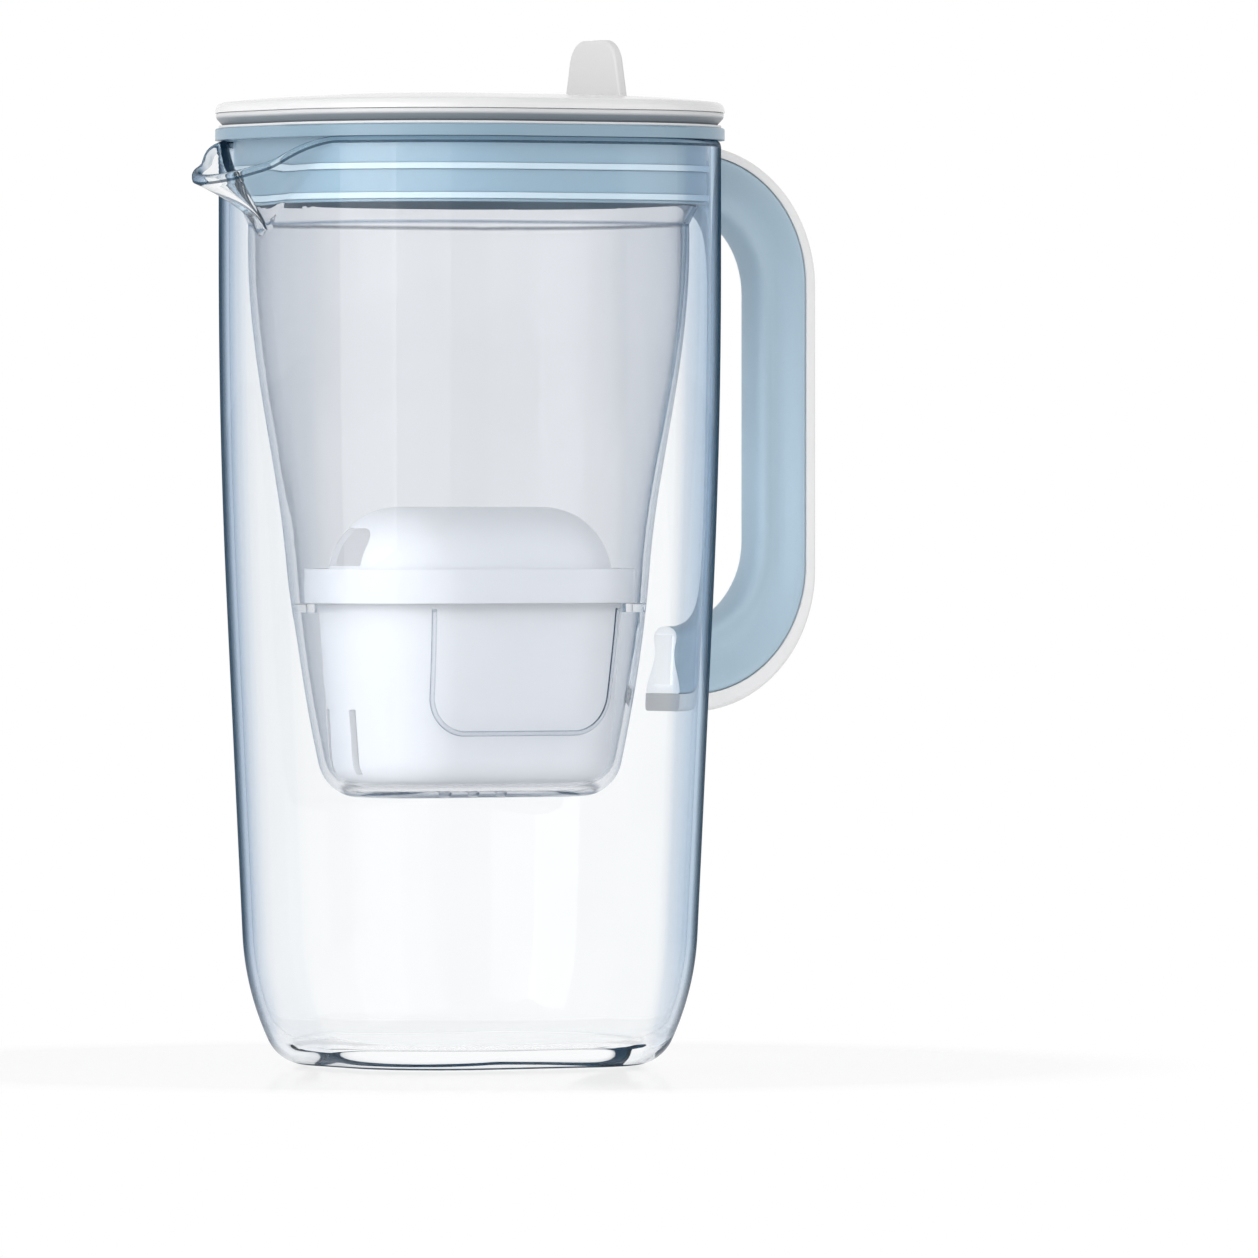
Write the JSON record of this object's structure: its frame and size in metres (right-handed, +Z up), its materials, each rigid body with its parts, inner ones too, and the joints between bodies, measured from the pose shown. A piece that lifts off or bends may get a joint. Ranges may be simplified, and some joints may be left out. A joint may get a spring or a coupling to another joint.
{
  "type": "water filter pitcher",
  "caption": "Tall glass pitcher with a spout, a bonded loop handle, a lift-out filter hopper that holds an oval drop-in cartridge, and a shallow domed lift-off lid.",
  "frame": {"origin": "centre of the jug's flat base, on the surface that it stands on", "axes": "+Z up, -X towards the spout, +X towards the handle, +Y to the left of the handle seen from behind it"},
  "size_m": [0.1972, 0.126, 0.2888],
  "materials": {
    "jug_glass": "clear polished glass",
    "grip_blue": "satin light blue",
    "white_gloss": "gloss white",
    "bond_clear": "clear bonding pad",
    "collar_blue": "satin light blue",
    "gasket_blue": "soft moulded",
    "funnel_clear": "clear moulded plastic",
    "cartridge_white": "satin white",
    "screen_white": "matt white",
    "bed_dark": "packed granules",
    "seal_white": "soft white",
    "lid_grey": "satin grey",
    "lid_white": "satin white",
    "tab_grey": "satin pale grey"
  },
  "bodies": {
    "jug": {"glass_jug": "jug_glass", "handle_grip": "grip_blue", "handle_back_strip": "white_gloss", "upper_bond_pad": "bond_clear", "lower_bond_pad": "bond_clear"},
    "hopper": {"hopper_collar": "collar_blue", "upper_collar_gasket": "gasket_blue", "lower_collar_gasket": "gasket_blue", "hopper_funnel": "funnel_clear"},
    "cartridge": {"cartridge_cup": "cartridge_white", "cartridge_cap": "cartridge_white", "inlet_screen": "screen_white", "filter_bed": "bed_dark", "outlet_screen": "screen_white"},
    "lid": {"lid_seal": "seal_white", "lid_base": "lid_grey", "lid_shell": "lid_white", "lift_tab": "tab_grey"}
  },
  "joints": [
    {"name": "hopper_lift", "type": "slide", "parent": "jug", "child": "hopper", "axis": [0, 0, 1], "range_m": [0, 0.2]},
    {"name": "cartridge_lift", "type": "slide", "parent": "hopper", "child": "cartridge", "axis": [0, 0, 1], "range_m": [0, 0.1]},
    {"name": "lid_lift", "type": "slide", "parent": "hopper", "child": "lid", "axis": [0, 0, 1], "range_m": [0, 0.06]}
  ]
}
